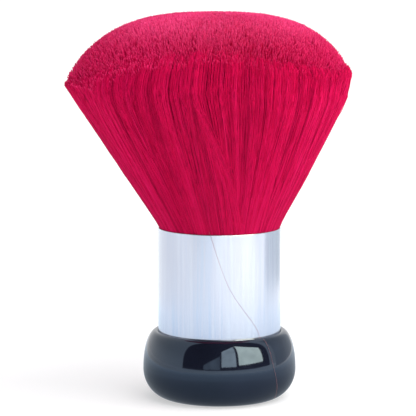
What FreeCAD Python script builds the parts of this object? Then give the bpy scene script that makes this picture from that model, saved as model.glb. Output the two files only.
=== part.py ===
"""Standing neck duster brush, as used in barber shops and hair salons.

A glossy moulded cup is the foot and the grip. A thin aluminium ferrule stands in its socket. A turned
wooden plug closes the ferrule's lower end, and one screw from below pulls plug and ferrule down onto
the cup. The fibre bundle is bound with thread at its root and potted in resin on top of the plug.

The bundle is one mass of loose fibre that bends as it is brushed over skin. It is made here as three
lumps, called by the usual names for the parts of a bristle: the heel at the ferrule, the belly above
it and the toe with the trimmed, domed end. Each meets the next on a sphere about its hinge, so that
they turn past each other without touching.

Millimetres, +Z up. The origin is the centre of the underside that the brush stands on.
"""
import FreeCAD
import Part

import math
import os

from FreeCAD import Matrix, Vector

# ---- driving dimensions ---------------------------------------------------------------------------
BASE_HEIGHT = 21.0          # floor to the lip that the ferrule comes out of
BASE_RADIUS = 23.7          # at the widest
BASE_WIDEST_Z = 9.1         # height of the widest ring
FOOT_RADIUS = 15.7          # outer edge of the flat ring it stands on
LIP_RADIUS = 19.75          # outer edge of the socket's lip
LIP_ROUND = 0.35            # rounding of the socket's inner edge

FERRULE_RADIUS = 19.0       # outside
FERRULE_WALL = 0.5
FERRULE_TOP = 53.1          # the mouth, where the fibre comes out
FERRULE_EDGE_ROUND = 0.2    # the deburred mouth
ROLLED_LIP = 1.7            # how far the lower edge is rolled inwards
SOCKET_DEPTH = 9.0
SOCKET_GAP = 0.06           # glue gap round the ferrule

CUP_FLOOR = 3.0
CUP_CAVITY_RADIUS = 17.1
CUP_RIB_THICKNESS = 1.2
CUP_RIB_COUNT = 4
CUP_RIB_TOP = 9.0
RECESS_RADIUS = 13.4        # shallow recess underneath, for the disc
RECESS_DEPTH = 0.9
DISC_GAP = 0.1
DISC_THICKNESS = 0.75

SCREW_RADIUS = 2.0          # over the thread
SCREW_CORE_RADIUS = 1.45
SCREW_PITCH = 1.5
SCREW_TIP = 3.0             # length of the point
SCREW_LENGTH = 18.4         # under the head
SCREW_HEAD_RADIUS = 4.0
SCREW_HEAD_HEIGHT = 2.6
SCREW_SLOT_WIDTH = 0.9
SCREW_SLOT_LENGTH = 4.4
SCREW_SLOT_DEPTH = 1.4
SCREW_HOLE_RADIUS = 2.25
WASHER_RADIUS = 4.8
WASHER_THICKNESS = 0.8
COUNTERBORE_RADIUS = 5.0
COUNTERBORE_DEPTH = 4.0     # from the recess upwards
BOSS_WALL = 2.0

PLUG_THICKNESS = 12.0
PLUG_GAP = 0.05
PLUG_CHAMFER = 0.8
PILOT_GAP = 0.03            # round the screw's thread

RESIN_TOP = 40.5
ROOT_RADIUS = 15.8          # the bound and potted root of the bundle
ROOT_GAP = 0.04             # between the root and what is round it
ROOT_BOTTOM = 27.0
BINDING_THREAD = 0.8        # diameter of the thread
BINDING_TURNS = 7
BINDING_PITCH = 0.9
BINDING_BOTTOM = 30.0       # height of the lowest turn's middle
BINDING_GAP = 0.05          # between the thread and the resin

HEAD_TOP = 119.5
RIM_HEIGHT = 97.3           # where the sides end and the trimmed dome begins
RIM_RADIUS = 43.95
RIM_SHIFT = -3.75           # the bundle leans a little to one side
COLLAR_HEIGHT = 0.6         # straight stretch at the mouth, before the fibre fans out
DOME_POWER_ACROSS = 3.0     # superellipse exponents of the dome's outline
DOME_POWER_UP = 1.45
DOME_POINTS = 14
APEX_SHIFT = 2.2            # the dome's top leans back over the ferrule by this much

LOWER_HINGE = Vector(0, 0, FERRULE_TOP - 4.0)
LOWER_BALL = 19.5           # top of the heel
UPPER_HINGE = Vector(-1.7, 0, FERRULE_TOP + 20.0)
UPPER_BALL = 31.0           # top of the belly
BALL_GAP = 0.35             # between two lumps of fibre

# ---- worked out from them -------------------------------------------------------------------------
SOCKET_FLOOR = BASE_HEIGHT - SOCKET_DEPTH
FERRULE_BORE = FERRULE_RADIUS - FERRULE_WALL
PLUG_BOTTOM = SOCKET_FLOOR + FERRULE_WALL
PLUG_TOP = PLUG_BOTTOM + PLUG_THICKNESS
FILL_RADIUS = FERRULE_BORE - PLUG_GAP
WASHER_TOP = RECESS_DEPTH + COUNTERBORE_DEPTH
HEAD_SEAT = WASHER_TOP - WASHER_THICKNESS
SCREW_END = HEAD_SEAT + SCREW_LENGTH


def section(r, z):
    """A point of an outline in the XZ half plane, given as radius and height."""
    return Vector(r, 0, z)


def line(a, b):
    return Part.LineSegment(section(*a), section(*b)).toShape()


def arc(a, through, b):
    return Part.Arc(section(*a), section(*through), section(*b)).toShape()


def corner(a, b, centre, radius):
    """A quarter round from a to b about centre."""
    middle = [(p + q) / 2 - c for p, q, c in zip(a, b, centre)]
    reach = radius / math.hypot(*middle)
    return arc(a, [c + m * reach for c, m in zip(centre, middle)], b)


def curve(points):
    """A smooth curve through points."""
    spline = Part.BSplineCurve()
    spline.interpolate([section(*p) for p in points])
    return spline.toShape()


def quarter(inner, centre_z, outer, end_z, power_across=2.0, power_up=2.0, count=12):
    """Points of a quarter superellipse, from the widest ring at centre_z to radius inner at end_z."""
    points = []
    for i in range(count + 1):
        angle = math.pi / 2 * i / count
        across = math.cos(angle) ** (2 / power_across)
        up = math.sin(angle) ** (2 / power_up)
        points.append((inner + (outer - inner) * across, centre_z + (end_z - centre_z) * up))
    return points


def turned(edges):
    """The solid that a closed outline sweeps as it turns once about the vertical axis."""
    face = Part.Face(Part.Wire(Part.sortEdges(edges)[0]))
    return face.revolve(Vector(0, 0, 0), Vector(0, 0, 1), 360)


def turned_polygon(points):
    ends = points[1:] + points[:1]
    return turned([line(a, b) for a, b in zip(points, ends)])


def cylinder(radius, bottom, top):
    return Part.makeCylinder(radius, top - bottom, Vector(0, 0, bottom))


def box(length, width, bottom, top):
    """A block centred on the axis."""
    return Part.makeBox(length, width, top - bottom, Vector(-length / 2, -width / 2, bottom))


# ---- base -----------------------------------------------------------------------------------------
def base_cup():
    """Moulded cup with a bulging wall, open at the top, where the ferrule plugs in."""
    socket = FERRULE_RADIUS + SOCKET_GAP
    lower = quarter(FOOT_RADIUS, BASE_WIDEST_Z, BASE_RADIUS, 0)
    upper = quarter(LIP_RADIUS, BASE_WIDEST_Z, BASE_RADIUS, BASE_HEIGHT)
    lip_inner = (socket, BASE_HEIGHT - LIP_ROUND)
    lip_top = (socket + LIP_ROUND, BASE_HEIGHT)
    outline = [
        line((RECESS_RADIUS, 0), (FOOT_RADIUS, 0)),
        curve(lower),
        curve(upper),
        line((LIP_RADIUS, BASE_HEIGHT), lip_top),
        corner(lip_top, lip_inner, (socket + LIP_ROUND, BASE_HEIGHT - LIP_ROUND), LIP_ROUND),
        line(lip_inner, (socket, SOCKET_FLOOR)),
        line((socket, SOCKET_FLOOR), (CUP_CAVITY_RADIUS, SOCKET_FLOOR)),
        line((CUP_CAVITY_RADIUS, SOCKET_FLOOR), (CUP_CAVITY_RADIUS, CUP_FLOOR)),
        line((CUP_CAVITY_RADIUS, CUP_FLOOR), (0, CUP_FLOOR)),
        line((0, CUP_FLOOR), (0, RECESS_DEPTH)),
        line((0, RECESS_DEPTH), (RECESS_RADIUS, RECESS_DEPTH)),
        line((RECESS_RADIUS, RECESS_DEPTH), (RECESS_RADIUS, 0)),
    ]
    cup = turned(outline).fuse(screw_boss()).fuse(cup_ribs())
    cup = cup.cut(cylinder(COUNTERBORE_RADIUS, 0, WASHER_TOP))
    cup = cup.cut(cylinder(SCREW_HOLE_RADIUS, 0, BASE_HEIGHT))
    return cup.removeSplitter()


def screw_boss():
    """Boss round the screw: wide about its head, and narrow up to the plug that it clamps."""
    wide = cylinder(COUNTERBORE_RADIUS + BOSS_WALL, CUP_FLOOR / 2, WASHER_TOP + BOSS_WALL)
    narrow = cylinder(SCREW_HOLE_RADIUS + BOSS_WALL, WASHER_TOP, PLUG_BOTTOM)
    return wide.fuse(narrow)


def cup_ribs():
    """Straight ribs across the cup's floor, from wall to wall through the boss."""
    reach = 2 * (CUP_CAVITY_RADIUS + 0.3)
    ribs = []
    for i in range(CUP_RIB_COUNT // 2):
        rib = box(reach, CUP_RIB_THICKNESS, CUP_FLOOR / 2, CUP_RIB_TOP)
        rib.rotate(Vector(0, 0, 0), Vector(0, 0, 1), 45 + i * 360 / CUP_RIB_COUNT)
        ribs.append(rib)
    return ribs[0].fuse(ribs[1:])


def base_disc():
    """Thin felt disc, glued into the recess over the screw."""
    return cylinder(RECESS_RADIUS - DISC_GAP, RECESS_DEPTH - DISC_THICKNESS, RECESS_DEPTH)


# ---- fasteners ------------------------------------------------------------------------------------
def fixing_screw():
    """Pan head wood screw, driven up through the cup into the wooden plug. Its thread is a row of rings."""
    head_bottom = HEAD_SEAT - SCREW_HEAD_HEIGHT
    crown = SCREW_HEAD_RADIUS * 0.62
    head = turned([
        line((0, HEAD_SEAT), (SCREW_HEAD_RADIUS, HEAD_SEAT)),
        line((SCREW_HEAD_RADIUS, HEAD_SEAT), (SCREW_HEAD_RADIUS, HEAD_SEAT - 0.8)),
        arc(
            (SCREW_HEAD_RADIUS, HEAD_SEAT - 0.8),
            (SCREW_HEAD_RADIUS * 0.9, head_bottom + 0.55),
            (crown, head_bottom),
        ),
        line((crown, head_bottom), (0, head_bottom)),
        line((0, head_bottom), (0, HEAD_SEAT)),
    ])
    profile = [(0, HEAD_SEAT - 0.2), (SCREW_CORE_RADIUS, HEAD_SEAT - 0.2)]
    z = PLUG_BOTTOM + SCREW_PITCH / 2
    while z < SCREW_END - SCREW_TIP:
        profile += [(SCREW_CORE_RADIUS, z - 0.4), (SCREW_RADIUS, z), (SCREW_CORE_RADIUS, z + 0.4)]
        z += SCREW_PITCH
    profile += [(SCREW_CORE_RADIUS, SCREW_END - SCREW_TIP), (0, SCREW_END)]
    screw = head.fuse(turned_polygon(profile))
    for angle in (0, 90):
        slot = box(SCREW_SLOT_LENGTH, SCREW_SLOT_WIDTH, head_bottom - 0.5, head_bottom + SCREW_SLOT_DEPTH)
        slot.rotate(Vector(0, 0, 0), Vector(0, 0, 1), angle)
        screw = screw.cut(slot)
    return screw.removeSplitter()


def screw_washer():
    washer = cylinder(WASHER_RADIUS, HEAD_SEAT, WASHER_TOP)
    return washer.cut(cylinder(SCREW_HOLE_RADIUS, HEAD_SEAT - 1, WASHER_TOP + 1))


# ---- ferrule and what fills it --------------------------------------------------------------------
def ferrule():
    """Thin drawn tube. Its lower edge is rolled inwards under the plug, and its mouth is deburred."""
    outer, inner = FERRULE_RADIUS, FERRULE_BORE
    bend = 2 * FERRULE_WALL
    bottom = SOCKET_FLOOR
    top = FERRULE_TOP
    lip_end = outer - ROLLED_LIP
    edge = FERRULE_EDGE_ROUND
    return turned([
        line((lip_end, bottom), (outer - bend, bottom)),
        corner((outer - bend, bottom), (outer, bottom + bend), (outer - bend, bottom + bend), bend),
        line((outer, bottom + bend), (outer, top - edge)),
        corner((outer, top - edge), (outer - edge, top), (outer - edge, top - edge), edge),
        line((outer - edge, top), (inner, top)),
        line((inner, top), (inner, bottom + bend)),
        corner(
            (inner, bottom + bend),
            (outer - bend, bottom + FERRULE_WALL),
            (outer - bend, bottom + bend),
            bend - FERRULE_WALL,
        ),
        line((outer - bend, bottom + FERRULE_WALL), (lip_end, bottom + FERRULE_WALL)),
        line((lip_end, bottom + FERRULE_WALL), (lip_end, bottom)),
    ])


def ferrule_plug():
    """Turned wooden plug that rests on the rolled lip, closes the ferrule and takes the screw."""
    plug = turned_polygon([
        (0, PLUG_BOTTOM),
        (FILL_RADIUS - PLUG_CHAMFER, PLUG_BOTTOM),
        (FILL_RADIUS, PLUG_BOTTOM + PLUG_CHAMFER),
        (FILL_RADIUS, PLUG_TOP),
        (0, PLUG_TOP),
    ])
    return plug.cut(cylinder(SCREW_RADIUS + PILOT_GAP, PLUG_BOTTOM - 1, SCREW_END + 0.3))


def root_binding():
    """Turns of thread round the bundle's root."""
    ring_radius = ROOT_RADIUS + BINDING_THREAD / 2
    turns = [
        Part.makeTorus(ring_radius, BINDING_THREAD / 2, Vector(0, 0, BINDING_BOTTOM + i * BINDING_PITCH))
        for i in range(BINDING_TURNS)
    ]
    return Part.makeCompound(turns)


def resin_plug():
    """Resin poured on the plug round the bound root of the bundle."""
    groove = ROOT_RADIUS + BINDING_THREAD + BINDING_GAP
    groove_bottom = BINDING_BOTTOM - BINDING_THREAD / 2 - BINDING_GAP
    groove_top = groove_bottom + (BINDING_TURNS - 1) * BINDING_PITCH + BINDING_THREAD + 2 * BINDING_GAP
    return turned_polygon([
        (0, PLUG_TOP),
        (FILL_RADIUS, PLUG_TOP),
        (FILL_RADIUS, RESIN_TOP),
        (ROOT_RADIUS, RESIN_TOP),
        (ROOT_RADIUS, groove_top),
        (groove, groove_top),
        (groove, groove_bottom),
        (ROOT_RADIUS, groove_bottom),
        (ROOT_RADIUS, ROOT_BOTTOM),
        (0, ROOT_BOTTOM),
    ])


# ---- fibre bundle ---------------------------------------------------------------------------------
def bundle_envelope():
    """Outside of the free fibre: a short collar, a fan that leans to one side, and a trimmed dome."""
    fan_bottom = FERRULE_TOP + COLLAR_HEIGHT
    collar = cylinder(FERRULE_RADIUS, FERRULE_TOP + 0.1, fan_bottom)
    rings = []
    for centre_x, z, radius in ((0, fan_bottom, FERRULE_RADIUS), (RIM_SHIFT, RIM_HEIGHT, RIM_RADIUS)):
        circle = Part.makeCircle(radius, Vector(centre_x, 0, z), Vector(0, 0, 1))
        rings.append(Part.Wire(circle))
    fan = Part.makeLoft(rings, True, True)
    outline = quarter(0, RIM_HEIGHT, RIM_RADIUS, HEAD_TOP, DOME_POWER_ACROSS, DOME_POWER_UP, DOME_POINTS)
    dome = turned([
        line((0, RIM_HEIGHT), (RIM_RADIUS, RIM_HEIGHT)),
        curve(outline),
        line((0, HEAD_TOP), (0, RIM_HEIGHT)),
    ])
    lean = Matrix()
    lean.A13 = APEX_SHIFT / (HEAD_TOP - RIM_HEIGHT)
    lean.A14 = RIM_SHIFT - lean.A13 * RIM_HEIGHT
    return collar.fuse([fan, dome.transformGeometry(lean)]).removeSplitter()


def ball(centre, radius):
    return Part.makeSphere(radius, centre)


def bristle_heel():
    """Lowest fibre, potted at its root and packed into the ferrule. It ends in a dome in the mouth."""
    flare_top = RESIN_TOP + 3.0
    root = ROOT_RADIUS - ROOT_GAP
    dome_edge = LOWER_HINGE.z + math.sqrt(LOWER_BALL**2 - FILL_RADIUS**2)
    dome_middle = LOWER_BALL * math.sqrt(0.5)
    dome_top = LOWER_HINGE.z + LOWER_BALL
    return turned([
        line((0, ROOT_BOTTOM), (root, ROOT_BOTTOM)),
        line((root, ROOT_BOTTOM), (root, RESIN_TOP)),
        line((root, RESIN_TOP), (FILL_RADIUS, flare_top)),
        line((FILL_RADIUS, flare_top), (FILL_RADIUS, dome_edge)),
        arc((FILL_RADIUS, dome_edge), (dome_middle, LOWER_HINGE.z + dome_middle), (0, dome_top)),
        line((0, dome_top), (0, ROOT_BOTTOM)),
    ])


def bristle_belly(envelope):
    """Middle of the bundle, which leans on the heel."""
    lump = envelope.common(ball(UPPER_HINGE, UPPER_BALL))
    return lump.cut(ball(LOWER_HINGE, LOWER_BALL + BALL_GAP))


def bristle_toe(envelope):
    """Working end of the bundle, which leans on the belly."""
    return envelope.cut(ball(UPPER_HINGE, UPPER_BALL + BALL_GAP))


# ---- export ---------------------------------------------------------------------------------------
def main():
    envelope = bundle_envelope()
    nodes = {
        "base_cup": base_cup(),
        "base_disc": base_disc(),
        "fixing_screw": fixing_screw(),
        "screw_washer": screw_washer(),
        "ferrule": ferrule(),
        "ferrule_plug": ferrule_plug(),
        "resin_plug": resin_plug(),
        "root_binding": root_binding(),
        "bristle_heel": bristle_heel(),
        "bristle_belly": bristle_belly(envelope),
        "bristle_toe": bristle_toe(envelope),
    }
    os.makedirs("parts", exist_ok=True)
    for name, shape in nodes.items():
        shape.exportStep(f"parts/{name}.step")
        print(f"{name}: {len(shape.Solids)} solid(s), {shape.Volume / 1000:.2f} cm3, valid {shape.isValid()}")


main()
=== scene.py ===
"""Looks of the standing neck duster brush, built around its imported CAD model. Metres, +Z up."""

import math

import bpy
import numpy as np
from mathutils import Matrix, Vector


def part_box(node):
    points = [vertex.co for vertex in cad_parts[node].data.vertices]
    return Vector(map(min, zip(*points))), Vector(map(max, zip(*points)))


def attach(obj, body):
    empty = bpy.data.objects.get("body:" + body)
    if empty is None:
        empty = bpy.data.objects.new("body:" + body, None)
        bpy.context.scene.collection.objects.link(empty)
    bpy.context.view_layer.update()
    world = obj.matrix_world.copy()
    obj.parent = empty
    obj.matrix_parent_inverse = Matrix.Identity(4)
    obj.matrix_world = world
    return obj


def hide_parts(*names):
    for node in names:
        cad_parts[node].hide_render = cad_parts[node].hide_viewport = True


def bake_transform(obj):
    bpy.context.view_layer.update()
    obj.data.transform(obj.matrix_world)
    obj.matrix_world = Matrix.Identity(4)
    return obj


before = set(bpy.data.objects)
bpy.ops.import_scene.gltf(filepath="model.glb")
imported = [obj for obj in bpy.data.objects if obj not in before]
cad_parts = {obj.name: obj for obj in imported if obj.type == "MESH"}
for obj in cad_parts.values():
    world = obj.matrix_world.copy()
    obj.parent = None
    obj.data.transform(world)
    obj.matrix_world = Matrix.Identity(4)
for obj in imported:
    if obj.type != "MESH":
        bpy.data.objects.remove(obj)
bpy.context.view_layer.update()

MM = 0.001
TURN = 2 * math.pi
RANDOM = np.random.default_rng(86)  # every fibre's place comes from this, so a run repeats exactly

# ---- the frame's dimensions -------------------------------------------------------------------------
base_low, base_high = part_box("base_cup")
ferrule_low, ferrule_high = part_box("ferrule")
toe_low, toe_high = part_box("bristle_toe")
heel_low, heel_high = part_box("bristle_heel")

MOUTH_Z = ferrule_high.z
FERRULE_RADIUS = (ferrule_high.x - ferrule_low.x) / 2
BORE_RADIUS = (heel_high.x - heel_low.x) / 2
BASE_TOP = base_high.z
BASE_RADIUS = (base_high.x - base_low.x) / 2
HEAD_TOP = toe_high.z
HEAD_HEIGHT = HEAD_TOP - MOUTH_Z
RIM_RADIUS = (toe_high.y - toe_low.y) / 2
RIM_X = (toe_high.x + toe_low.x) / 2
RIM_Z = MOUTH_Z + 0.6656 * HEAD_HEIGHT      # the widest ring of the head
DOME_HEIGHT = HEAD_TOP - RIM_Z
DOME_ACROSS = 3.0                           # superellipse exponents of the dome's outline
DOME_UP = 1.45
DOME_LEAN = 2.2 * MM / DOME_HEIGHT          # the dome's top leans back over the ferrule
BASE_WIDEST_Z = 9.1 * MM                    # height of the base's widest ring
LIP_RADIUS = 19.75 * MM                     # outer edge of the base's lip
FOOT_RADIUS = 15.7 * MM                     # outer edge of the base's underside
ROOT_RADIUS = 15.7 * MM                     # the potted root of the bundle
KINK_Z = MOUTH_Z + 0.5 * MM                 # where the fibre starts to fan out
SPLIT_Z = MOUTH_Z + 13 * MM                 # lower pieces end here, and upper ones begin
FRONT = -math.pi / 2                        # the direction that faces the camera

# ---- the fibre --------------------------------------------------------------------------------------
SIDE_FIBRES = 14500
DOME_FIBRES = 46000
FIBRE_SIDES = 3
ROOT_THICK = 0.095 * MM     # radius of a fibre's lower end
TIP_THICK = 0.07 * MM
SHELL = 1.1 * MM            # depth of the layer of loose fibre over the mass below it
RIM_UNEVEN = 0.7 * MM       # how far the rim's edge wanders up and down
CLUMPS = 620                # small clumps round the sides
LOWER_HEIGHTS = (-1.2, 0.05, 0.6, 1.8, 4.5, 8.5, 13.0)  # stations of the lower pieces, mm over the mouth
LOWER_STEPS = len(LOWER_HEIGHTS)
UPPER_STEPS = 9             # stations of the upper pieces, after the one that they share
DOME_STEPS = (1.0, 0.45, 0.1, 0.0)  # stations of the dome's fibres, from the root to the cut end
MOST_TRIANGLES = 199000     # in one piece


def smooth(x):
    """A soft step from 0 to 1."""
    x = np.clip(x, 0, 1)
    return x * x * (3 - 2 * x)


def waves(count, low, high):
    """A smooth periodic function of an angle: count sines with whole frequencies from low to high."""
    frequency = RANDOM.integers(low, high + 1, count)
    phase = RANDOM.uniform(0, TURN, count)
    weight = RANDOM.uniform(0.5, 1, count)
    weight /= np.sqrt((weight**2).sum() / 2)

    def value(angle):
        angle = np.asarray(angle)[..., None]
        return (weight * np.sin(frequency * angle + phase)).sum(-1)

    return value


rim_wave = waves(7, 2, 9)
lock_wave = waves(26, 18, 70)
fine_wave = waves(30, 70, 190)


def away(angle, middle):
    """The signed turn from middle to angle."""
    return (angle - middle + math.pi) % TURN - math.pi


def dome_height(share):
    """Height of the trimmed dome over the rim, at a share of the rim's radius."""
    return DOME_HEIGHT * np.clip(1 - share**DOME_ACROSS, 0, 1) ** (1 / DOME_UP)


def centre_x(z):
    """The bundle leans to -X up to its rim, and its dome leans back."""
    opened = np.clip((z - KINK_Z) / (RIM_Z - KINK_Z), 0, 1)
    return RIM_X * opened + DOME_LEAN * np.clip(z - RIM_Z, 0, None)


def outline_table():
    """Radius and height along the head's outline: up the fan, round the rim and over the shoulder."""
    fan_z = np.linspace(KINK_Z, RIM_Z, 200)
    run = (fan_z - KINK_Z) / (RIM_Z - KINK_Z)
    fan_r = FERRULE_RADIUS + (RIM_RADIUS - FERRULE_RADIUS) * run * run / (run + 0.01) * 1.01
    turn = np.linspace(0, math.pi / 2, 400)[1:]
    dome_r = RIM_RADIUS * np.cos(turn) ** (2 / DOME_ACROSS)
    dome_z = RIM_Z + DOME_HEIGHT * np.sin(turn) ** (2 / DOME_UP)
    r = np.append(fan_r, dome_r)
    z = np.append(fan_z, dome_z)
    length = np.append(0, np.cumsum(np.hypot(np.diff(r), np.diff(z))))
    return length, r, z, length[len(fan_z) - 1]


OUTLINE_LENGTH, OUTLINE_R, OUTLINE_Z, RIM_LENGTH = outline_table()
SPLIT_LENGTH = float(np.interp(SPLIT_Z, OUTLINE_Z, OUTLINE_LENGTH))


def over_shoulder(angle):
    """How far past the rim the outer fibres run, in metres: nowhere on the left, where the rim is a
    sharp corner, a little on the right, and well up the dome at the front and the back."""
    across = np.abs(np.cos(angle))
    right = np.clip(np.cos(angle), 0, 1)
    return MM * (15 * (1 - across**2) + 4.5 * right**3)


# ---- tubes ------------------------------------------------------------------------------------------
def tube_points(paths, radii):
    """The rings of points round the paths, as fibres x stations x sides x 3."""
    tangent = np.gradient(paths, axis=1)
    tangent /= np.linalg.norm(tangent, axis=2, keepdims=True)
    out = paths - np.array([RIM_X, 0, 0])
    out[..., 2] = 0
    out += np.array([1e-5, 0, 0])
    side = np.cross(tangent, out)
    side /= np.linalg.norm(side, axis=2, keepdims=True)
    normal = np.cross(side, tangent)
    turn = np.arange(FIBRE_SIDES) * TURN / FIBRE_SIDES
    ring = normal[:, :, None] * np.cos(turn)[:, None] + side[:, :, None] * np.sin(turn)[:, None]
    return paths[:, :, None] + ring * radii[:, :, None, None]


def tube_faces(index):
    """The four-sided faces along the tubes, and the faces that close their ends."""
    a, b = index[:, :-1], index[:, 1:]
    quads = np.stack([a, np.roll(a, -1, 2), np.roll(b, -1, 2), b], -1).reshape(-1, 4)
    ends = np.concatenate([index[:, -1], index[:, 0, ::-1]])
    return quads, ends


def add_layout(mesh, quads, ends, fibres, stations):
    """A UV layer with a column for each fibre, so that a bake is even."""
    corners = np.concatenate([quads.ravel(), ends.ravel()])
    fibre = corners // (stations * FIBRE_SIDES)
    station = corners // FIBRE_SIDES % stations
    column = np.concatenate([np.tile([0.1, 0.9, 0.9, 0.1], len(quads)), np.full(ends.size, 0.5)])
    uv = np.stack([(fibre + column) / fibres, 0.01 + 0.98 * station / (stations - 1)], -1)
    mesh.uv_layers.new(name="OFBake").data.foreach_set("uv", uv.astype(np.float32).ravel())


def sharpen_ends(mesh, stations):
    """Sharp edges round the tubes' ends, so that the shading along a tube isn't bent there."""
    pairs = np.empty(len(mesh.edges) * 2, np.int32)
    mesh.edges.foreach_get("vertices", pairs)
    rings = pairs.reshape(-1, 2) // FIBRE_SIDES
    station = rings[:, 0] % stations
    sharp = (rings[:, 0] == rings[:, 1]) & ((station == 0) | (station == stations - 1))
    mesh.attributes.new("sharp_edge", "BOOLEAN", "EDGE").data.foreach_set("value", sharp)


def tube_mesh(name, paths, radii, shade, along, material):
    """One mesh of many thin tubes. paths is fibres x stations x 3, radii and along are fibres x
    stations, and shade has one value for each fibre."""
    fibres, stations, _ = paths.shape
    points = tube_points(paths, radii).reshape(-1, 3)
    index = np.arange(len(points)).reshape(fibres, stations, FIBRE_SIDES)
    quads, ends = tube_faces(index)
    corners = np.concatenate([quads.ravel(), ends.ravel()])
    sizes = np.concatenate([np.full(len(quads), 4), np.full(len(ends), FIBRE_SIDES)])
    starts = np.concatenate([[0], np.cumsum(sizes)[:-1]])

    mesh = bpy.data.meshes.new(name)
    mesh.vertices.add(len(points))
    mesh.vertices.foreach_set("co", points.astype(np.float32).ravel())
    mesh.loops.add(len(corners))
    mesh.loops.foreach_set("vertex_index", corners.astype(np.int32))
    mesh.polygons.add(len(sizes))
    mesh.polygons.foreach_set("loop_start", starts.astype(np.int32))
    mesh.polygons.foreach_set("use_smooth", np.arange(len(sizes)) < len(quads))
    for label, values in (
        ("shade", np.broadcast_to(shade[:, None, None], index.shape)),
        ("along", np.broadcast_to(along[:, :, None], index.shape)),
    ):
        attribute = mesh.attributes.new(label, "FLOAT", "POINT")
        attribute.data.foreach_set("value", values.astype(np.float32).ravel())
    add_layout(mesh, quads, ends, fibres, stations)
    mesh.update(calc_edges=True)
    sharpen_ends(mesh, stations)
    mesh.materials.append(material)
    piece = bpy.data.objects.new(name, mesh)
    bpy.context.scene.collection.objects.link(piece)
    return piece


def tube_pieces(name, paths, radii, shade, along, material):
    """As tube_mesh, shared out over as many pieces as the limit on triangles needs."""
    stations = paths.shape[1]
    triangles = (stations - 1) * FIBRE_SIDES * 2 + 2
    count = math.ceil(len(paths) * triangles / MOST_TRIANGLES)
    made = []
    for i in range(count):
        part = slice(i, None, count)
        values = (paths[part], radii[part], shade[part], along[part])
        made.append(tube_mesh(f"{name}_{i + 1}", *values, material))
    return made


# ---- materials --------------------------------------------------------------------------------------
def new_material(name, **values):
    """A material with one Principled shader, and the values of its sockets."""
    material = bpy.data.materials.new(name)
    material.use_nodes = True
    shader = material.node_tree.nodes["Principled BSDF"]
    for label, value in values.items():
        shader.inputs[label.replace("_", " ")].default_value = value
    return material, material.node_tree, shader


def node(tree, kind, inputs=None, **settings):
    """A node with its settings, and its inputs given as values or as another node's output."""
    made = tree.nodes.new("ShaderNode" + kind)
    for label, value in settings.items():
        setattr(made, label, value)
    for label, value in (inputs or {}).items():
        if isinstance(value, bpy.types.NodeSocket):
            tree.links.new(value, made.inputs[label])
        else:
            made.inputs[label].default_value = value
    return made


def ramp(tree, factor, *stops):
    """A colour ramp with (position, colour) stops."""
    made = node(tree, "ValToRGB", {"Fac": factor})
    elements = made.color_ramp.elements
    while len(elements) < len(stops):
        elements.new(0.5)
    for element, (position, colour) in zip(elements, stops):
        element.position = position
        element.color = (*colour, 1)
    return made.outputs["Color"]


def spread(tree, factor, low, high):
    """A factor from 0 to 1 mapped to a range."""
    return node(tree, "MapRange", {"Value": factor, "To Min": low, "To Max": high}).outputs["Result"]


def place(tree, scale):
    """Object coordinates, scaled."""
    coordinates = node(tree, "TexCoord").outputs["Object"]
    return node(tree, "Mapping", {"Vector": coordinates, "Scale": scale}).outputs["Vector"]


def noise(tree, scale, detail=3.0, rough=0.5):
    """Noise from 0 to 1, with a scale for each axis of the object."""
    settings = {"Vector": place(tree, scale), "Scale": 1.0, "Detail": detail, "Roughness": rough}
    return node(tree, "TexNoise", settings).outputs["Fac"]


def crimson(name, tint, **values):
    """Fine crimson filaments: deeper at the root, paler where they are cut, each a shade of its own.
    tint multiplies the colour of the palest ones."""
    material, tree, shader = new_material(name, **values)
    shader.inputs["Specular Tint"].default_value = (1.0, 0.12, 0.28, 1)
    along = node(tree, "Attribute", attribute_name="along").outputs["Fac"]
    shade = node(tree, "Attribute", attribute_name="shade").outputs["Fac"]
    colour = ramp(
        tree,
        along,
        (0.0, (0.62, 0.0045, 0.076)),
        (0.35, (0.65, 0.0034, 0.078)),
        (0.94, (0.73, 0.0046, 0.088)),
        (1.0, (0.97, 0.052, 0.240)),
    )
    dark = ramp(tree, shade, (0.0, (0.42, 0.30, 0.40)), (0.5, (0.96, 0.9, 0.92)), (1.0, tint))
    # the Mix node's sockets for colours have to be picked by number: 6 and 7 go in, 2 comes out
    product = {"Factor": 1.0, 6: colour, 7: dark}
    mixed = node(tree, "Mix", product, data_type="RGBA", blend_type="MULTIPLY")
    tree.links.new(mixed.outputs[2], shader.inputs["Base Color"])
    rough = spread(tree, noise(tree, (900, 900, 120)), 0.45, 0.7)
    tree.links.new(rough, shader.inputs["Roughness"])
    return material


def mass_material():
    """The dense fibre under the loose layer: the same crimson, darker, streaked along the fibre."""
    material, tree, shader = new_material("crimson_mass", Roughness=0.8, Specular_IOR_Level=0.05)
    streak = noise(tree, (1500, 1500, 90), detail=4, rough=0.6)
    colour = ramp(tree, streak, (0.3, (0.55, 0.0025, 0.055)), (0.7, (0.75, 0.0035, 0.080)))
    tree.links.new(colour, shader.inputs["Base Color"])
    bump = node(tree, "Bump", {"Height": streak, "Strength": 0.6, "Distance": 0.0003})
    tree.links.new(bump.outputs["Normal"], shader.inputs["Normal"])
    return material


# the tint is for the palest fibres, among them the side fibres painted paler as a painted highlight
FIBRE = crimson("crimson_fibre", (1.15, 2.2, 1.5), Specular_IOR_Level=0.12)
SHED = crimson("faded_fibre", (0.62, 48.0, 2.4), Specular_IOR_Level=0.2)
MASS = mass_material()


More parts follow.
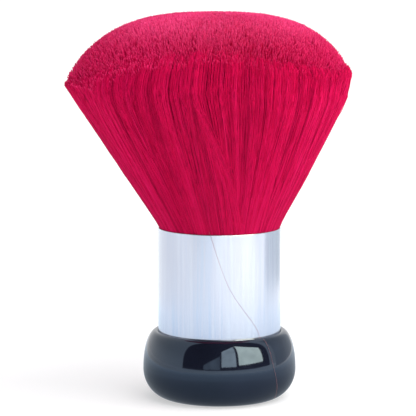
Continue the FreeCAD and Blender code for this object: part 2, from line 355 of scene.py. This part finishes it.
# ---- side fibre -------------------------------------------------------------------------------------
SWEEPS = (              # azimuth from the front, half width and turn in degrees: bands that lean
    (4, 9, -9),
    (-13, 5, -3),
    (16, 4, -3),
    (31, 6, 3),
    (-36, 6, -4),
    (-58, 6, 4),
    (58, 7, -4),
    (88, 9, 6),
    (125, 9, -7),
    (158, 8, 5),
    (190, 9, -6),
    (222, 9, 5),
    (256, 7, -4),
)
SWEPT_LOCKS = (         # root and tip azimuth and half width in degrees, fibres: locks that lie on top
    (19, -9, 3.0, 60),
    (12, -5, 2.0, 24),
    (-33, -40, 1.6, 24),
    (-57, -50, 1.6, 24),
    (40, 33, 1.4, 20),
    (118, 134, 3.0, 60),
    (205, 190, 3.0, 60),
    (160, 171, 2.0, 30),
)


def clumped(tip, shade):
    """The fibres drawn together in small clumps, each with a shade of its own."""
    clumps = np.sort(RANDOM.uniform(0, TURN, CLUMPS))
    nearest = np.argmin(np.abs(away(tip[:, None], clumps)), axis=1)
    hold = RANDOM.uniform(0.0, 0.4, len(clumps))[nearest]
    tone = RANDOM.normal(0, 0.12, len(clumps))[nearest]
    return tip - away(tip, clumps[nearest]) * hold, shade + tone


def side_layout():
    """For each side fibre the angles of its root and tip, its depth in the loose layer and its shade."""
    count = SIDE_FIBRES
    root = RANDOM.uniform(0, TURN, count)
    tip = root + RANDOM.normal(0, 0.018, count)
    for azimuth, half, turn in SWEEPS:
        off = away(root, FRONT + math.radians(azimuth)) / math.radians(half)
        tip = tip + math.radians(turn) * np.exp(-off * off)
    depth = SHELL * RANDOM.beta(1.1, 1.5, count)
    shade = RANDOM.normal(0.5, 0.16, count) + 0.06 * lock_wave(root) + 0.06 * fine_wave(root)
    shade += 0.35 * (RANDOM.uniform(0, 1, count) < 0.05)    # one in twenty is painted paler: a painted highlight of fibres that catch the light
    tip, shade = clumped(tip, shade)
    for root_azimuth, tip_azimuth, half, extra in SWEPT_LOCKS:
        offset = RANDOM.normal(0, 0.5, extra)
        root = np.append(root, FRONT + np.radians(root_azimuth + offset * half))
        tip = np.append(tip, FRONT + np.radians(tip_azimuth + offset * half * 0.8))
        depth = np.append(depth, RANDOM.uniform(-0.25 * MM, 0.2 * MM, extra))
        shade = np.append(shade, RANDOM.normal(0.66, 0.1, extra))
    return root, tip, depth, np.clip(shade, 0, 1)


def side_lengths(tip, beyond):
    """How far up the outline each station of each side fibre lies."""
    count = len(tip)
    ragged = RANDOM.normal(0, 0.5 * MM, count) - 0.55 * beyond * RANDOM.beta(1.0, 1.6, count)
    end = RIM_LENGTH + beyond + ragged + RIM_UNEVEN * rim_wave(tip)
    low = np.interp(MOUTH_Z + np.array(LOWER_HEIGHTS) * MM, OUTLINE_Z, OUTLINE_LENGTH)
    low = np.broadcast_to(low, (count, len(low)))
    step = np.arange(1, UPPER_STEPS + 1) / UPPER_STEPS
    return np.concatenate([low, SPLIT_LENGTH + (end - SPLIT_LENGTH)[:, None] * step], 1)


def side_inset(tip, depth, beyond, length, share):
    """How far inside the outline each station of each side fibre lies."""
    inset = depth[:, None] * (0.75 + 0.3 * share) + 0.15 * MM
    inset = inset - 0.18 * MM * lock_wave(tip)[:, None] * smooth(share * 1.6 - 0.6)
    bend = np.exp(-((length - RIM_LENGTH) / (8 * MM)) ** 2)     # close to the rim
    inset = inset + 1.1 * MM * bend * smooth(beyond / (14 * MM))[:, None]
    right = np.clip(np.cos(tip), 0, 1)[:, None] ** 2
    return inset - MM * right * (0.9 * smooth(share * 2.5) + 0.5 * bend)    # the right side is fuller


def wander(paths, height):
    """Gentle waves of each fibre's own, which begin above the mouth. Changes paths."""
    count = len(paths)
    free = smooth((height - MOUTH_Z) / (20 * MM))
    for axis in (0, 1):
        phase = RANDOM.uniform(0, TURN, (count, 1))
        wave = RANDOM.uniform(14 * MM, 34 * MM, (count, 1))
        size = RANDOM.gamma(2.0, 0.035 * MM, (count, 1))
        paths[..., axis] += free * size * np.sin(TURN * height / wave + phase)


def side_fibres():
    """The long fibres on the sides of the fan, in lower and upper pieces that meet end to end."""
    root, tip, depth, shade = side_layout()
    beyond = over_shoulder(tip)
    length = side_lengths(tip, beyond)
    radius = np.interp(length, OUTLINE_LENGTH, OUTLINE_R)
    height = np.interp(length, OUTLINE_LENGTH, OUTLINE_Z)
    height[:, :LOWER_STEPS] = MOUTH_Z + np.array(LOWER_HEIGHTS) * MM

    share = np.clip(length / RIM_LENGTH, 0, 1)
    inset = side_inset(tip, depth, beyond, length, share)
    lean_in = np.clip((height - RIM_Z) / DOME_HEIGHT, 0, 1) * 1.3   # how far the outline has turned in
    radius = radius - inset * np.cos(lean_in)
    height = height - inset * np.sin(lean_in)
    radius = radius - 0.45 * MM * smooth((MOUTH_Z + 0.5 * MM - height) / (0.5 * MM))    # into the ferrule
    last = LOWER_STEPS
    for _ in range(2):      # the fibre bends over the rim without a kink
        for line in (radius, height):
            line[:, last:-1] = (line[:, last - 1:-2] + 2 * line[:, last:-1] + line[:, last + 1:]) / 4

    angle = root[:, None] + (tip - root)[:, None] * share
    middle = centre_x(height)
    paths = np.stack([middle + radius * np.cos(angle), radius * np.sin(angle), height], -1)
    wander(paths, height)
    along = np.clip(share * 0.93, 0, 1)
    radii = ROOT_THICK + (TIP_THICK - ROOT_THICK) * along
    radii = radii * RANDOM.uniform(0.8, 1.25, (len(root), 1))

    made = []
    for name, part in (
        ("side_fibre_lower", slice(None, LOWER_STEPS)),
        ("side_fibre_upper", slice(LOWER_STEPS - 1, None)),
    ):
        made.append(tube_pieces(name, paths[:, part], radii[:, part], shade, along[:, part], FIBRE))
    return made


# ---- dome fibre -------------------------------------------------------------------------------------
def bare_share(angle):
    """The share of the rim's radius up to which the dome shows the ends of fibres, at an angle."""
    length = RIM_LENGTH + 0.75 * over_shoulder(angle)
    return np.interp(length, OUTLINE_LENGTH, OUTLINE_R) / RIM_RADIUS


def dome_fibres():
    """The ends of the inner fibres, which make the trimmed dome."""
    count = DOME_FIBRES
    share = np.sqrt(RANDOM.uniform(0, 1, count))
    share = np.clip(share, 0, 0.995)
    angle = RANDOM.uniform(0, TURN, count)
    top = RIM_Z + dome_height(share) + RIM_UNEVEN * rim_wave(angle) * share**6
    top += RANDOM.normal(-0.26 * MM, 0.12 * MM, count) + 0.15 * MM * lock_wave(angle) * share**2
    covered = smooth((share - bare_share(angle)) / 0.05)    # by the side fibres that bend over the rim
    top -= 1.1 * MM * covered
    outer = (RIM_RADIUS - 0.3 * MM - 2.9 * MM * covered)[:, None]
    length = 6 * MM + 9 * MM * smooth((share - 0.72) / 0.25)
    steps = np.array(DOME_STEPS)
    height = top[:, None] - length[:, None] * steps
    grown = (height - KINK_Z) / (top - KINK_Z)[:, None]
    radius = share[:, None] * (BORE_RADIUS + (outer - BORE_RADIUS) * grown)
    middle = centre_x(top)[:, None] * grown
    paths = np.stack([middle + radius * np.cos(angle)[:, None], radius * np.sin(angle)[:, None], height], -1)
    stray = RANDOM.normal(0, 0.22 * MM, (count, 1, 2))
    paths[..., :2] += stray * (1 - steps[:, None])
    along = 1 - length[:, None] * steps / (40 * MM) - 0.042 * smooth((share - 0.55) / 0.35)[:, None]
    radii = np.full(along.shape, TIP_THICK * 1.45) * RANDOM.uniform(0.75, 1.3, (count, 1))
    shade = np.clip(RANDOM.normal(0.72, 0.18, count) + 0.04 * lock_wave(angle) * share, 0, 1)
    return tube_pieces("dome_fibre", paths, radii, shade, along, FIBRE)


# ---- the mass below ---------------------------------------------------------------------------------
def ring_mesh(name, rings, material):
    """A closed solid of revolution through rings of (centre x, height, radius)."""
    count = 128
    angle = np.arange(count) * TURN / count
    points = [
        (x + r * math.cos(t), r * math.sin(t), z)
        for x, z, r in rings
        for t in angle
    ]
    faces = [
        (i * count + j, i * count + (j + 1) % count, (i + 1) * count + (j + 1) % count, (i + 1) * count + j)
        for i in range(len(rings) - 1)
        for j in range(count)
    ]
    faces.append(tuple(range(count))[::-1])
    faces.append(tuple(range((len(rings) - 1) * count, len(rings) * count)))
    mesh = bpy.data.meshes.new(name)
    mesh.from_pydata(points, [], faces)
    for polygon in mesh.polygons:
        polygon.use_smooth = len(polygon.vertices) == 4
    mesh.update()
    mesh.materials.append(material)
    piece = bpy.data.objects.new(name, mesh)
    bpy.context.scene.collection.objects.link(piece)
    return piece


def mass_ring(length, inset):
    """The mass's ring at a length up the outline, under the loose layer."""
    inset += 2.2 * MM * math.exp(-(((length - RIM_LENGTH) / (10 * MM)) ** 2))
    radius = float(np.interp(length, OUTLINE_LENGTH, OUTLINE_R)) - inset
    height = float(np.interp(length, OUTLINE_LENGTH, OUTLINE_Z))
    return float(centre_x(height)), height, radius


def fibre_mass():
    """The dense fibre under the loose layer, as a lower and an upper piece."""
    inset = SHELL * 0.7
    lower = [
        (0, heel_low.z, ROOT_RADIUS),
        (0, heel_low.z + 13.5 * MM, ROOT_RADIUS),
        (0, heel_low.z + 16.5 * MM, BORE_RADIUS - 0.1 * MM),
        (0, MOUTH_Z - 6 * MM, BORE_RADIUS - 0.1 * MM),
        (0, MOUTH_Z - 1 * MM, BORE_RADIUS - 0.4 * MM),
    ]
    lower += [mass_ring(length, inset) for length in np.linspace(0.6 * MM, SPLIT_LENGTH, 12)]
    upper = [mass_ring(length, inset) for length in np.linspace(SPLIT_LENGTH, RIM_LENGTH - 2 * MM, 16)]
    _, rim_height, rim_radius = upper[-1]
    top = HEAD_TOP - 2.2 * MM
    steps = 32
    for i in range(1, steps + 1):
        turn = math.pi / 2 * i / steps
        share = math.cos(turn) ** (2 / DOME_ACROSS)
        rise = math.sin(turn) ** (2 / DOME_UP)
        height = rim_height + (top - rim_height) * rise
        upper.append((float(centre_x(height)), height, max(rim_radius * share, 0.2 * MM)))
    return ring_mesh("fibre_mass_lower", lower, MASS), ring_mesh("fibre_mass_upper", upper, MASS)


# ---- shed fibre -------------------------------------------------------------------------------------
def handle_radius(z):
    """The outside of the base or the ferrule at a height."""
    if z > BASE_TOP:
        return FERRULE_RADIUS
    if z > BASE_WIDEST_Z:
        end, reach = LIP_RADIUS, BASE_TOP - BASE_WIDEST_Z
    else:
        end, reach = FOOT_RADIUS, BASE_WIDEST_Z
    return end + (BASE_RADIUS - end) * math.sqrt(max(0, 1 - ((z - BASE_WIDEST_Z) / reach) ** 2))


def shed_fibre():
    """One fibre has come out of the bundle and clings to the front of the ferrule and the base."""
    stops = (   # azimuth from the front in degrees, height in millimetres
        (-10, 54.4), (-8.5, 53.0), (-7, 51.5), (-1, 45), (8, 36.8), (19.4, 31.1), (33, 25.5), (38.7, 22.6),
        (40.6, 19.9), (42.2, 16.5), (43.3, 13.3), (46.5, 8), (50, 4.5), (54.3, 1.8),
    )
    azimuths, heights = np.array(stops).T
    run = np.linspace(0, len(stops) - 1, 70)
    azimuth = np.interp(run, np.arange(len(stops)), azimuths)
    height = np.interp(run, np.arange(len(stops)), heights)
    for _ in range(6):      # rounds the corners at the stops
        azimuth[1:-1] = (azimuth[:-2] + 2 * azimuth[1:-1] + azimuth[2:]) / 4
        height[1:-1] = (height[:-2] + 2 * height[1:-1] + height[2:]) / 4
    gap = 0.12 * MM + 0.1 * MM * np.sin(run * 1.3) ** 2
    radius = np.array([handle_radius(z * MM) for z in height]) + gap
    angle = FRONT + np.radians(azimuth)
    path = np.stack([radius * np.cos(angle), radius * np.sin(angle), height * MM], -1)
    thick = np.linspace(0.038, 0.022, len(path))[None] * MM
    along = np.linspace(0.2, 0.9, len(path))[None]
    piece = tube_mesh("shed_fibre", path[None], thick, np.array([1.0]), along, SHED)
    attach(piece, "handle")


# ---- placement baked into the fibre meshes ----------------------------------------------------------
def bend_lower(piece):
    """The lower pieces, at the mouth: their placement is baked into their mesh."""
    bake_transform(piece)


def bend_upper(piece):
    """The upper pieces, above: their placement is baked into their mesh."""
    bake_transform(piece)


mass_lower, mass_upper = fibre_mass()
side_lower, side_upper = side_fibres()
for piece in (mass_lower, *side_lower):
    bend_lower(piece)
for piece in (mass_upper, *side_upper, *dome_fibres()):
    bend_upper(piece)
shed_fibre()
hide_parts("bristle_heel", "bristle_belly")
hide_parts("bristle_toe")


# ---- materials of the CAD nodes ---------------------------------------------------------------------
def set_material(name, material):
    """Gives a CAD node its material."""
    cad_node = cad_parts[name]
    cad_node.data.materials.clear()
    cad_node.data.materials.append(material)


def base_material():
    """Glossy black moulded plastic, faintly bluish, with a painted blue tint on its reflections, faint waves
    and rubbed places.
    """
    material, tree, shader = new_material("gloss_black_plastic", Specular_IOR_Level=0.84)
    # Specular Tint paints the reflections blue: a painted reflection tint
    shader.inputs["Specular Tint"].default_value = (0.56, 0.76, 1.0, 1)
    tint = noise(tree, (60, 60, 60), detail=4)
    colour = ramp(tree, tint, (0.35, (0.0050, 0.0060, 0.0120)), (0.7, (0.0085, 0.0100, 0.0190)))
    tree.links.new(colour, shader.inputs["Base Color"])
    rough = spread(tree, noise(tree, (180, 180, 240), detail=6, rough=0.65), 0.03, 0.10)
    tree.links.new(rough, shader.inputs["Roughness"])
    wave = noise(tree, (42, 42, 60), detail=1.5)
    bump = node(tree, "Bump", {"Height": wave, "Strength": 0.22, "Distance": 0.0006})
    tree.links.new(bump.outputs["Normal"], shader.inputs["Normal"])
    return material


def ferrule_material():
    """Drawn aluminium, satin and pale blue, with soft bands and fine lines along the tube."""
    material, tree, shader = new_material("drawn_aluminium", Metallic=0.85)
    broad = noise(tree, (130, 130, 6), detail=2)
    fine = noise(tree, (1700, 1700, 30), detail=3, rough=0.6)
    both = node(tree, "Mix", {0: 0.45, 2: broad, 3: fine}).outputs[0]     # 0 is the share of fine
    colour = ramp(
        tree,
        both,
        (0.38, (0.55, 0.63, 0.77)),
        (0.5, (0.62, 0.66, 0.77)),
        (0.6, (0.66, 0.73, 0.83)),
    )
    tree.links.new(colour, shader.inputs["Base Color"])
    tree.links.new(spread(tree, both, 0.12, 0.28), shader.inputs["Roughness"])
    bump = node(tree, "Bump", {"Height": fine, "Strength": 0.06, "Distance": 0.0001})
    tree.links.new(bump.outputs["Normal"], shader.inputs["Normal"])
    return material


def grained(name, scale, low, high, rough, **values):
    """A material with noise of a scale between two colours and two roughnesses."""
    material, tree, shader = new_material(name, **values)
    grain = noise(tree, scale, detail=4, rough=0.6)
    tree.links.new(ramp(tree, grain, (0.3, low), (0.7, high)), shader.inputs["Base Color"])
    tree.links.new(spread(tree, grain, *rough), shader.inputs["Roughness"])
    bump = node(tree, "Bump", {"Height": grain, "Strength": 0.3, "Distance": 0.0002})
    tree.links.new(bump.outputs["Normal"], shader.inputs["Normal"])
    return material


ZINC = grained(
    "zinc_plate", (900, 900, 900), (0.50, 0.50, 0.48), (0.68, 0.68, 0.66), (0.25, 0.45), Metallic=1.0
)
set_material("base_cup", base_material())
set_material("base_disc", grained("black_felt", (2600, 2600, 2600), (0.010,) * 3, (0.035,) * 3, (0.85, 1.0)))
set_material("fixing_screw", ZINC)
set_material("screw_washer", ZINC)
set_material("ferrule", ferrule_material())
set_material(
    "ferrule_plug",
    grained("turned_beech", (500, 500, 60), (0.42, 0.25, 0.12), (0.60, 0.40, 0.23), (0.5, 0.7)),
)
set_material(
    "resin_plug",
    grained("amber_resin", (160, 160, 160), (0.40, 0.24, 0.08), (0.50, 0.33, 0.13), (0.1, 0.25)),
)
set_material(
    "root_binding",
    grained("waxed_thread", (1400, 1400, 4000), (0.50, 0.46, 0.38), (0.70, 0.66, 0.56), (0.5, 0.8)),
)
for name in ("bristle_heel", "bristle_belly", "bristle_toe"):
    set_material(name, MASS)


# ---- camera, floor and light ------------------------------------------------------------------------
VIEW_DISTANCE = 0.727
VIEW_PITCH = math.radians(7.23)
VIEW_TARGET = Vector((-0.00355, 0, 0.059))


def add_camera():
    """A long lens in front of the brush that looks slightly down."""
    data = bpy.data.cameras.new("camera")
    data.lens = 203.7
    data.clip_start = 0.05
    data.clip_end = 50
    camera = bpy.data.objects.new("camera", data)
    bpy.context.scene.collection.objects.link(camera)
    back = Vector((0, -math.cos(VIEW_PITCH), math.sin(VIEW_PITCH)))
    camera.location = VIEW_TARGET + back * VIEW_DISTANCE
    camera.rotation_mode = "QUATERNION"
    camera.rotation_quaternion = (-back).to_track_quat("-Z", "Y")
    bpy.context.scene.camera = camera


def add_floor():
    """A pale floor that shines a little itself, so that shadows on it stay light."""
    half = 15
    corners = [(-half, -half, 0), (half, -half, 0), (half, half, 0), (-half, half, 0)]
    mesh = bpy.data.meshes.new("floor")
    mesh.from_pydata(corners, [], [(0, 1, 2, 3)])
    floor = bpy.data.objects.new("floor", mesh)
    bpy.context.scene.collection.objects.link(floor)
    material, tree, shader = new_material("pale_floor", Roughness=0.9, Specular_IOR_Level=0.1)
    shader.inputs["Emission Color"].default_value = (1, 1, 1, 1)
    shader.inputs["Emission Strength"].default_value = 0.5
    grain = noise(tree, (6, 6, 6), detail=2)
    colour = ramp(tree, grain, (0.3, (0.515, 0.515, 0.52)), (0.7, (0.535, 0.535, 0.535)))
    tree.links.new(colour, shader.inputs["Base Color"])
    mesh.materials.append(material)


def add_world():
    """Even white light from all round, a little darker high up on the left."""
    world = bpy.data.worlds.new("studio")
    world.use_nodes = True
    tree = world.node_tree
    background = tree.nodes["Background"]
    background.inputs["Color"].default_value = (0.985, 0.99, 1.0, 1)
    way = node(tree, "TexCoord").outputs["Generated"]
    parts = node(tree, "SeparateXYZ", {"Vector": way}).outputs
    left = node(tree, "MapRange", {"Value": parts["X"], "From Min": 0.3, "From Max": -1.0}).outputs["Result"]
    high = node(tree, "MapRange", {"Value": parts["Z"], "From Min": 0.08, "From Max": 0.35}).outputs["Result"]
    dark = node(tree, "Math", {0: left, 1: high}, operation="MULTIPLY").outputs["Value"]
    tree.links.new(spread(tree, dark, 1.08, 0.86), background.inputs["Strength"])
    bpy.context.scene.world = world


def direction(azimuth, elevation):
    """Azimuth 0 is the camera's side, and 90 is +X. Degrees."""
    a, e = math.radians(azimuth), math.radians(elevation)
    return Vector((math.sin(a) * math.cos(e), -math.cos(a) * math.cos(e), math.sin(e)))


def add_softbox(name, azimuth, elevation, distance, size, power):
    """An area light that faces the brush, and isn't seen in reflections."""
    data = bpy.data.lights.new(name, "AREA")
    data.shape = "SQUARE"
    data.size = size
    data.energy = power
    light = bpy.data.objects.new(name, data)
    bpy.context.scene.collection.objects.link(light)
    way = direction(azimuth, elevation)
    light.location = Vector((0, 0, 0.07)) + way * distance
    light.rotation_mode = "QUATERNION"
    light.rotation_quaternion = (-way).to_track_quat("-Z", "Y")
    light.visible_glossy = False


def light_material(name, colour):
    """A material that only shines."""
    material = bpy.data.materials.new(name)
    material.use_nodes = True
    tree = material.node_tree
    tree.nodes.clear()
    emission = node(tree, "Emission", {"Color": (*colour, 1)})
    output = node(tree, "OutputMaterial")
    tree.links.new(emission.outputs["Emission"], output.inputs["Surface"])
    return material, tree, emission


def glow(name, colour, strength, uneven=0.25):
    """A card's cloudy light: its strength varies by uneven both ways."""
    material, tree, emission = light_material(name, colour)
    cloud = noise(tree, (9, 9, 9), detail=2)
    bright = spread(tree, cloud, strength * (1 - uneven), strength * (1 + uneven))
    tree.links.new(bright, emission.inputs["Strength"])
    return material


def add_reflected(name, points, faces, material):
    """A surface that is only seen in reflections."""
    mesh = bpy.data.meshes.new(name)
    mesh.from_pydata(points, [], faces)
    mesh.update()
    mesh.materials.append(material)
    surface = bpy.data.objects.new(name, mesh)
    bpy.context.scene.collection.objects.link(surface)
    surface.visible_camera = False
    surface.visible_diffuse = False
    surface.visible_shadow = False
    surface.visible_transmission = False
    return surface


def add_card(name, left, right, low, high_left, high_right, distance, material):
    """A curved card round the object, between azimuths and elevations in degrees."""
    count = 16
    points = []
    faces = []
    for i in range(count + 1):
        share = i / count
        high = high_left + (high_right - high_left) * share
        for j in range(count + 1):
            way = direction(left + (right - left) * share, low + (high - low) * j / count)
            points.append(way * distance + Vector((0, 0, 0.012)))
            if i < count and j < count:
                corner = i * (count + 1) + j
                faces.append((corner, corner + 1, corner + count + 2, corner + count + 1))
    return add_reflected(name, points, faces, material)


def add_floor_shade_ring(inner, outer):
    """A ring on the floor round the foot, seen only in reflections: painted shade of the floor, darkest near
    the foot.
    """
    count = 48
    rims = [
        (radius * math.cos(i * TURN / count), radius * math.sin(i * TURN / count), 0.3 * MM)
        for radius in (inner, outer)
        for i in range(count)
    ]
    faces = [(i, (i + 1) % count, (i + 1) % count + count, i + count) for i in range(count)]
    material, tree, emission = light_material("painted_floor_shade", (0.8, 0.9, 1.0))
    coordinates = node(tree, "TexCoord").outputs["Object"]
    reach = node(tree, "VectorMath", {0: coordinates}, operation="LENGTH").outputs["Value"]
    share = node(tree, "MapRange", {"Value": reach, "From Min": inner, "From Max": outer}).outputs["Result"]
    # the strength rises away from the foot: painted shade of the floor round the foot, for the glossy base
    # and ferrule to mirror
    tree.links.new(spread(tree, share, 0.37, 1.36), emission.inputs["Strength"])
    add_reflected("card_floor_shade", rims, faces, material)


def add_room():
    """What the glossy base mirrors: a dark room in front, with a window in two panes on the right."""
    add_card("card_room", -56, 80, 0, 74, 80, 0.50, glow("room_dark", (0.6, 0.7, 1.0), 0.02))
    add_card("card_pane_right", 29, 68, 5.5, 50, 30, 0.48, glow("window_bright", (1.0, 0.93, 0.72), 7.2, 0.3))
    add_card("card_pane_left", 2, 25, 4, 30, 47, 0.48, glow("window_dim", (1.0, 0.97, 0.90), 3.3, 0.4))
    add_card("card_sill", -24, 0, 1, 6, 20, 0.48, glow("window_low", (0.9, 0.95, 1.0), 0.8, 0.6))
    add_card("card_side", 90, 150, -2.6, 50, 50, 0.22, glow("room_grey", (0.85, 0.92, 1.0), 0.75))
    # a ring of painted floor shade round the foot, seen only in reflections
    add_floor_shade_ring(17 * MM, 180 * MM)


def add_flag():
    """A black card on the left that isn't seen, and keeps some of the light off that side."""
    flag = add_card("card_flag", -140, -50, 12, 68, 68, 0.45, glow("flag_black", (0.5, 0.6, 1.0), 0.10))
    flag.visible_diffuse = True
    flag.visible_shadow = True
    flag.visible_glossy = False


bpy.context.scene.view_settings.view_transform = "Standard"
add_camera()
add_floor()
add_world()
add_room()
add_flag()
add_softbox("key", 48, 50, 1.8, 2.2, 34)
